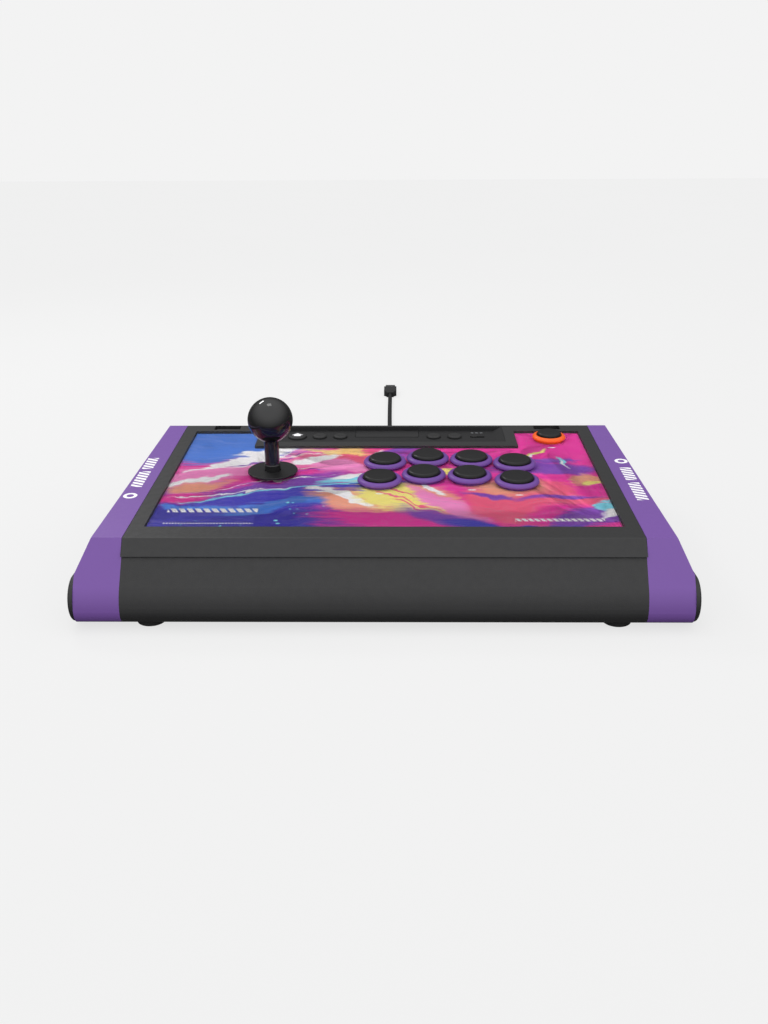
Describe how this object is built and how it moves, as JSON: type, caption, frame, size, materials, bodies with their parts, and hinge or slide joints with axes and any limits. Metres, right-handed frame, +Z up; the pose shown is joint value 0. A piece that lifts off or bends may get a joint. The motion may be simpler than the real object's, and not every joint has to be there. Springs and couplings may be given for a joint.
{
  "type": "arcade joystick panel",
  "caption": "Desktop arcade controller: sloped case with a hinged lid that carries a ball-top lever, round push buttons and a sunk function tray, on rubber feet, with a cord.",
  "frame": {"origin": "on the floor, under the middle of the case (cord left out)", "axes": "+X to the player's right, +Y away from the player, +Z up"},
  "size_m": [0.425, 0.6775, 0.1251],
  "materials": {
    "case_black": "fine moulded texture, satin",
    "cheek_purple": "satin",
    "rim_purple": "satin",
    "rim_orange": "satin",
    "plunger_black": "satin",
    "ball_black": "polished",
    "tray_black": "satin",
    "key_black": "satin",
    "cover_clear": "polished acrylic",
    "art_print": "printed sheet",
    "steel_plate": "zinc plated",
    "shaft_steel": "polished",
    "switch_body": "moulded",
    "nylon_white": "moulded nylon",
    "board_green": "solder mask",
    "magnet_nickel": "nickel plated",
    "foot_rubber": "matte",
    "cord_black": "matte jacket",
    "light_bar": "diffusing"
  },
  "bodies": {
    "base": {"lower_case": "case_black", "bottom_case": "case_black", "left_cheek": "cheek_purple", "right_cheek": "cheek_purple", "left_side_plate": "case_black", "right_side_plate": "case_black", "rubber_feet": "foot_rubber", "case_screws": "steel_plate", "main_board": "board_green", "hinge_brackets": "steel_plate", "hinge_pins": "shaft_steel", "catch_magnets": "magnet_nickel", "cable_gland": "cord_black", "cord_to_coil": "cord_black", "cord_coil": "cord_black", "cord_to_plug": "cord_black", "plug_body": "cord_black", "plug_shell": "shaft_steel"},
    "lid": {"lid_frame": "case_black", "clear_cover": "cover_clear", "art_sheet": "art_print", "mounting_plate": "steel_plate", "plate_screws": "steel_plate", "hinge_leaves": "steel_plate", "button_housings": "rim_purple", "button_microswitches": "switch_body", "option_button_housing": "rim_orange", "function_tray": "tray_black", "function_board": "board_green", "indicator_lights": "light_bar", "lever_bracket": "steel_plate", "lever_housing": "switch_body", "restrictor_gate": "nylon_white", "lever_switches": "switch_body", "lever_nuts": "steel_plate"},
    "upper_button_1_body": {"upper_button_1": "plunger_black"},
    "upper_button_2_body": {"upper_button_2": "plunger_black"},
    "upper_button_3_body": {"upper_button_3": "plunger_black"},
    "upper_button_4_body": {"upper_button_4": "plunger_black"},
    "lower_button_1_body": {"lower_button_1": "plunger_black"},
    "lower_button_2_body": {"lower_button_2": "plunger_black"},
    "lower_button_3_body": {"lower_button_3": "plunger_black"},
    "lower_button_4_body": {"lower_button_4": "plunger_black"},
    "option_button_body": {"option_button": "plunger_black"},
    "home_button_body": {"home_button": "plunger_black"},
    "share_button_body": {"share_button": "key_black"},
    "turbo_button_body": {"turbo_button": "key_black"},
    "start_button_body": {"start_button": "key_black"},
    "select_button_body": {"select_button": "key_black"},
    "touchpad_body": {"touchpad": "key_black"},
    "mode_slider_body": {"mode_slider": "key_black"},
    "lever_pivot": {"pivot_ball": "nylon_white"},
    "lever": {"lever_shaft": "shaft_steel", "shaft_cover": "ball_black", "ball_top": "ball_black", "actuator": "nylon_white", "e_clip": "shaft_steel", "lever_spring": "shaft_steel"},
    "slip_washer_body": {"slip_washer": "nylon_white"},
    "dust_washer_body": {"dust_washer": "ball_black"}
  },
  "joints": [
    {"name": "lid_hinge", "type": "hinge", "parent": "base", "child": "lid", "pos_m": [0, 0.12823, 0.06352], "axis": [-1, 0, 0], "range_deg": [0, 70]},
    {"name": "upper_button_1_press", "type": "slide", "parent": "lid", "child": "upper_button_1_body", "axis": [0, 0.0469, -0.9989], "range_m": [0, 0.003], "stiffness_N_per_m": 250, "springref_m": -0.0015},
    {"name": "upper_button_2_press", "type": "slide", "parent": "lid", "child": "upper_button_2_body", "axis": [0, 0.0469, -0.9989], "range_m": [0, 0.003], "stiffness_N_per_m": 250, "springref_m": -0.0015},
    {"name": "upper_button_3_press", "type": "slide", "parent": "lid", "child": "upper_button_3_body", "axis": [0, 0.0469, -0.9989], "range_m": [0, 0.003], "stiffness_N_per_m": 250, "springref_m": -0.0015},
    {"name": "upper_button_4_press", "type": "slide", "parent": "lid", "child": "upper_button_4_body", "axis": [0, 0.0469, -0.9989], "range_m": [0, 0.003], "stiffness_N_per_m": 250, "springref_m": -0.0015},
    {"name": "lower_button_1_press", "type": "slide", "parent": "lid", "child": "lower_button_1_body", "axis": [0, 0.0469, -0.9989], "range_m": [0, 0.003], "stiffness_N_per_m": 250, "springref_m": -0.0015},
    {"name": "lower_button_2_press", "type": "slide", "parent": "lid", "child": "lower_button_2_body", "axis": [0, 0.0469, -0.9989], "range_m": [0, 0.003], "stiffness_N_per_m": 250, "springref_m": -0.0015},
    {"name": "lower_button_3_press", "type": "slide", "parent": "lid", "child": "lower_button_3_body", "axis": [0, 0.0469, -0.9989], "range_m": [0, 0.003], "stiffness_N_per_m": 250, "springref_m": -0.0015},
    {"name": "lower_button_4_press", "type": "slide", "parent": "lid", "child": "lower_button_4_body", "axis": [0, 0.0469, -0.9989], "range_m": [0, 0.003], "stiffness_N_per_m": 250, "springref_m": -0.0015},
    {"name": "option_button_press", "type": "slide", "parent": "lid", "child": "option_button_body", "axis": [0, 0.0469, -0.9989], "range_m": [0, 0.003], "stiffness_N_per_m": 250, "springref_m": -0.0015},
    {"name": "home_button_press", "type": "slide", "parent": "lid", "child": "home_button_body", "axis": [0, 0.0469, -0.9989], "range_m": [0, 0.0006], "stiffness_N_per_m": 500, "springref_m": -0.0006},
    {"name": "share_button_press", "type": "slide", "parent": "lid", "child": "share_button_body", "axis": [0, 0.0469, -0.9989], "range_m": [0, 0.0006], "stiffness_N_per_m": 500, "springref_m": -0.0006},
    {"name": "turbo_button_press", "type": "slide", "parent": "lid", "child": "turbo_button_body", "axis": [0, 0.0469, -0.9989], "range_m": [0, 0.0006], "stiffness_N_per_m": 500, "springref_m": -0.0006},
    {"name": "start_button_press", "type": "slide", "parent": "lid", "child": "start_button_body", "axis": [0, 0.0469, -0.9989], "range_m": [0, 0.0006], "stiffness_N_per_m": 500, "springref_m": -0.0006},
    {"name": "select_button_press", "type": "slide", "parent": "lid", "child": "select_button_body", "axis": [0, 0.0469, -0.9989], "range_m": [0, 0.0006], "stiffness_N_per_m": 500, "springref_m": -0.0006},
    {"name": "touchpad_press", "type": "slide", "parent": "lid", "child": "touchpad_body", "axis": [0, 0.0469, -0.9989], "range_m": [0, 0.0006], "stiffness_N_per_m": 500, "springref_m": -0.0006},
    {"name": "mode_slider_slide", "type": "slide", "parent": "lid", "child": "mode_slider_body", "axis": [1, 0, 0], "range_m": [0, 0.006]},
    {"name": "lever_fore_aft", "type": "hinge", "parent": "lid", "child": "lever_pivot", "pos_m": [-0.0891, 0.0161, 0.04444], "axis": [-1, 0, 0], "range_deg": [-8, 8], "stiffness_Nm_per_rad": 1.2},
    {"name": "lever_left_right", "type": "hinge", "parent": "lever_pivot", "child": "lever", "pos_m": [-0.0891, 0.0161, 0.04444], "axis": [0, 0.9989, 0.0469], "range_deg": [-8, 8], "stiffness_Nm_per_rad": 1.2, "deforming": ["lever_spring"]},
    {"name": "washer_fore_aft", "type": "slide", "parent": "lid", "child": "slip_washer_body", "axis": [0, 0.9989, 0.0469], "range_m": [-0.0031, 0.0031]},
    {"name": "washer_left_right", "type": "slide", "parent": "slip_washer_body", "child": "dust_washer_body", "axis": [1, 0, 0], "range_m": [-0.0031, 0.0031]}
  ],
  "couplings": [
    {"joint": "washer_fore_aft", "follows": "lever_fore_aft", "m_per_rad": 0.0212},
    {"joint": "washer_left_right", "follows": "lever_left_right", "m_per_rad": 0.0212}
  ]
}
